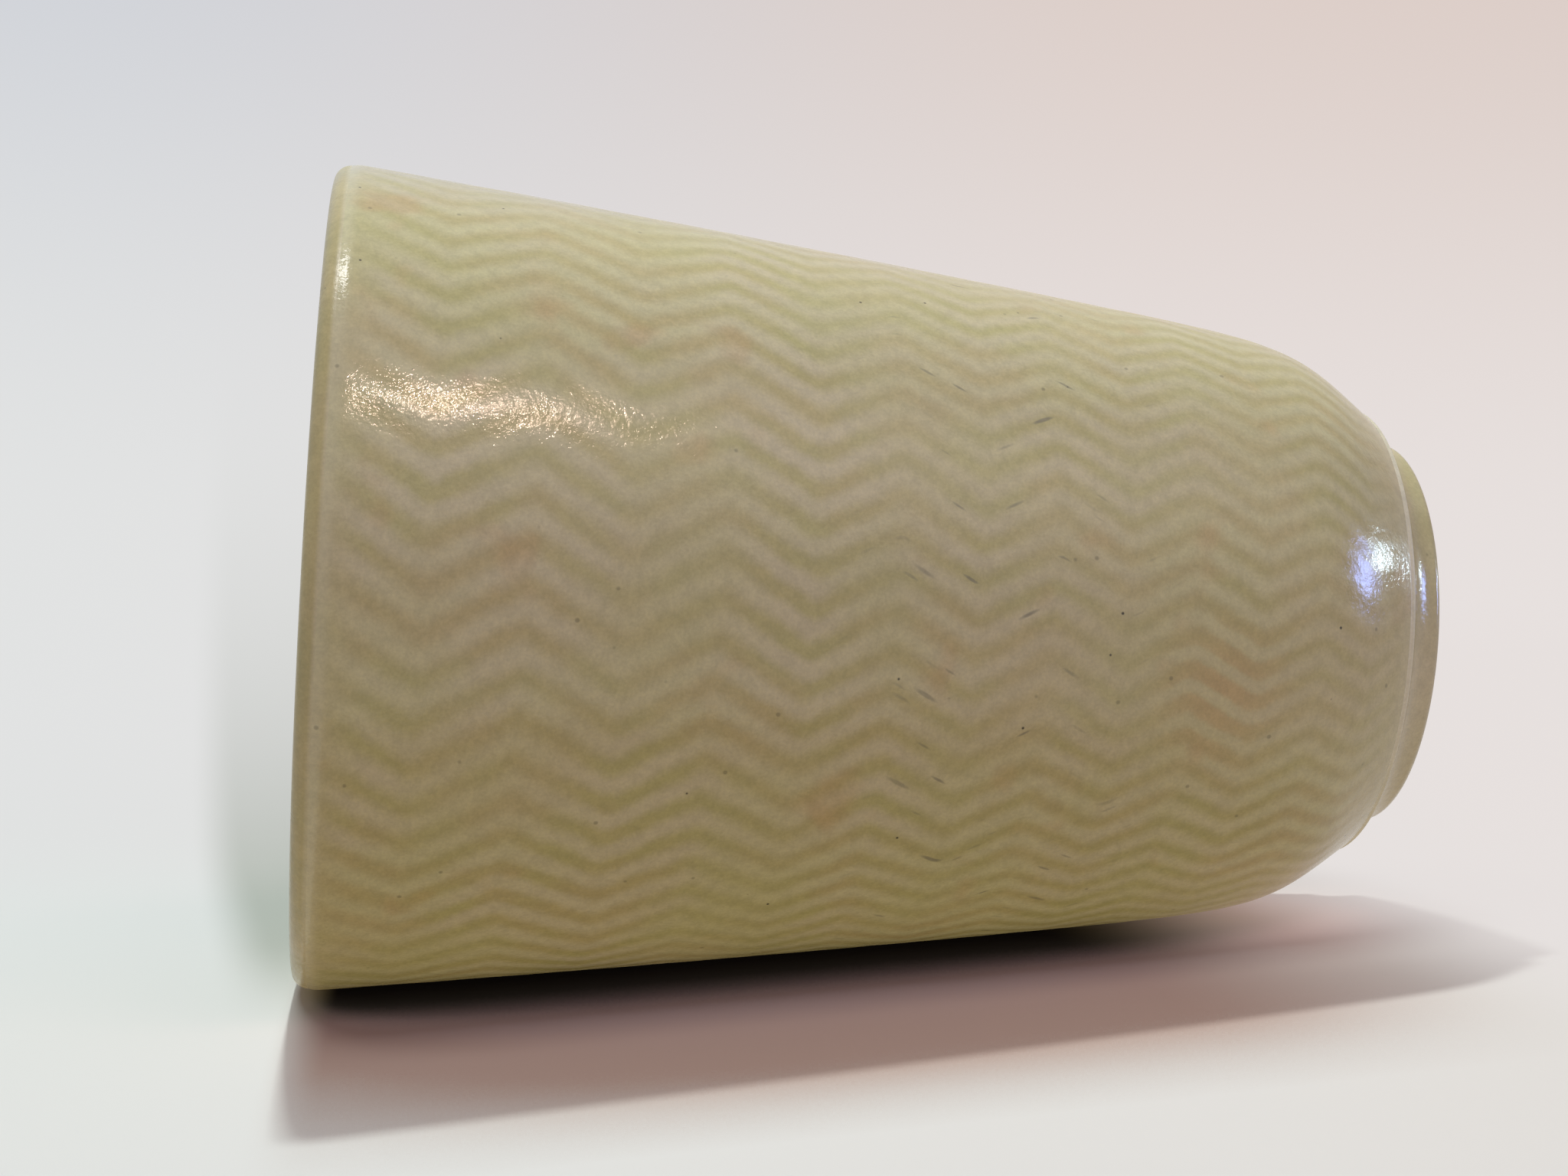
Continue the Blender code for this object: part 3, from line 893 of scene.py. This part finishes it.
SKY = (0.93, 1.0, 0.94)
LATE_SKY = (0.89, 1.0, 0.93)
PINK = (1.0, 0.62, 0.52)
WARM = (1.0, 0.72, 0.57)
COOL = (0.30, 0.42, 1.0)
ICE = (0.66, 0.86, 1.0)
WALL_GLINT_AT = Vector((0.031, -0.0737, 0.197))
DOME_GLINT_AT = Vector((0.0146, -0.0504, 0.0170))
DOME_GLOW_AT = Vector((0.0101, -0.0551, 0.0230))
LIP_GLINT_AT = Vector((0.0548, -0.0609, 0.2156))


def area_lamp(name, toward, distance, size, power, colour, target=VASE_MIDDLE):
    """A rectangular lamp at this distance from its target, in this direction."""
    data = bpy.data.lights.new(name, "AREA")
    data.shape = "RECTANGLE"
    data.size, data.size_y = size
    data.energy = power
    data.color = colour
    lamp = bpy.data.objects.new(name, data)
    direction = Vector(toward).normalized()
    lamp.location = target + direction * distance
    lamp.rotation_euler = direction.to_track_quat("Z", "Y").to_euler()
    bpy.context.scene.collection.objects.link(lamp)
    return lamp


def soft_lamp(name, **values):
    """A lamp that lights the vase without a mirror image of its own."""
    area_lamp(name, **values).visible_glossy = False


def glint_lamp(name, **values):
    """A lamp that is only seen mirrored in the glaze."""
    area_lamp(name, **values).visible_diffuse = False


def lamps():
    """Soft lamps that light the vase, and small ones for the highlights that the photo shows."""
    soft_lamp("sky_window", toward=(1.0, -0.12, 0.28), distance=1.4, size=(0.6, 0.6),
              power=8.0, colour=SKY)
    soft_lamp("back_window", toward=(0.843, 0.525, 0.06), distance=4.0, size=(0.17, 0.17),
              power=90.0, colour=LATE_SKY)
    soft_lamp("warm_fill", toward=(0.738, -0.644, -0.203), distance=1.4, size=(0.5, 0.5),
              power=2.5, colour=PINK)
    glint_lamp("warm_lamp", toward=(0.765, -0.612, -0.205), distance=0.9, size=(0.02, 0.03),
               power=0.75, colour=WARM, target=WALL_GLINT_AT)
    glint_lamp("side_window", toward=(0.28, 0.06, -0.957), distance=0.9, size=(0.04, 0.045),
               power=0.9, colour=ICE, target=DOME_GLINT_AT)
    glint_lamp("side_glow", toward=(0.26, -0.18, -0.95), distance=0.9, size=(0.15, 0.19),
               power=2.3, colour=COOL, target=DOME_GLOW_AT)
    glint_lamp("ceiling_lamp", toward=(0.985, 0.017, 0.14), distance=1.0, size=(0.16, 0.16),
               power=1.0, colour=WHITE, target=LIP_GLINT_AT)


# World

WORLD_DOWN = (0.47, 0.345, 0.127)
WORLD_LEVEL = (0.39, 0.385, 0.435)
WORLD_UP = (0.0, 0.0, 0.0)
WORLD_SHADES = ((0.0, WORLD_DOWN), (0.5, WORLD_LEVEL), (1.0, WORLD_UP))
GROUND = (0.72, 0.71, 0.71)
SHEEN_FROM = Vector((0.74, -0.60, -0.30)).normalized()
SHEEN = 0.9
SHEEN_FOCUS = 8.0


def sheen(tree, direction):
    """Strength of the mirrored ground, which brightens softly toward the lit part of the room."""
    toward = tree.nodes.new("ShaderNodeVectorMath")
    toward.operation = "DOT_PRODUCT"
    tree.links.new(direction, toward.inputs[0])
    toward.inputs[1].default_value = SHEEN_FROM
    lit = tree.maths("POWER", tree.maths("MAXIMUM", toward.outputs["Value"], 0.0), SHEEN_FOCUS)
    glossy = tree.nodes.new("ShaderNodeLightPath").outputs["Is Glossy Ray"]
    return tree.maths("MULTIPLY_ADD", tree.maths("MULTIPLY", lit, SHEEN), glossy, 1.0)


def pale_world():
    """Light from the sides, warmer light off the floor, and a plain pale ground wherever it is seen."""
    world = bpy.data.worlds.new("pale_world")
    world.use_nodes = True
    tree = Tree(world.node_tree)
    direction = tree.nodes.new("ShaderNodeTexCoord").outputs["Generated"]
    upward = tree.maths("MULTIPLY_ADD", tree.part(direction, "X"), 0.5, 0.5)
    light = tree.nodes["Background"]
    tree.links.new(tree.ramp(upward, WORLD_SHADES), light.inputs["Color"])
    ground = tree.nodes.new("ShaderNodeBackground")
    ground.inputs["Color"].default_value = (*GROUND, 1.0)
    tree.links.new(sheen(tree, direction), ground.inputs["Strength"])
    surface = tree.choose(tree.seen_directly(), light.outputs[0], ground.outputs[0])
    tree.links.new(surface, tree.nodes["World Output"].inputs["Surface"])
    bpy.context.scene.world = world


def camera():
    """The photo's camera, as fitted to the vase's contour."""
    data = bpy.data.cameras.new("camera")
    data.lens = LENS
    data.sensor_width = SENSOR_WIDTH
    data.clip_start = CLIP_START
    made = bpy.data.objects.new("camera", data)
    back = -CAMERA_LOOK.normalized()
    right = CAMERA_UP.cross(back).normalized()
    up = back.cross(right)
    turn = Matrix((right, up, back)).transposed().to_4x4()
    made.matrix_world = Matrix.Translation(CAMERA_AT) @ turn
    bpy.context.scene.collection.objects.link(made)
    bpy.context.scene.camera = made


zigzag_glaze(zigzag_material())
lip_glaze(lip_material())
liner_glaze(plain_glaze("liner_glaze", PALE, PALE_KHAKI))
foot_glaze = foot_material()
foot_coat(foot_glaze)
base_coat(foot_glaze)
slip_bead(plain_glaze("slip", SLIP_PALE, ARRIS_PALE, SLIP_ROUGH))
clay = clay_material()
for node in ("thrown_body", "foot_ring"):
    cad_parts[node].data.materials.clear()
    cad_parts[node].data.materials.append(clay)

sweep()
lamps()
pale_world()
camera()
bpy.context.scene.view_settings.view_transform = "Standard"
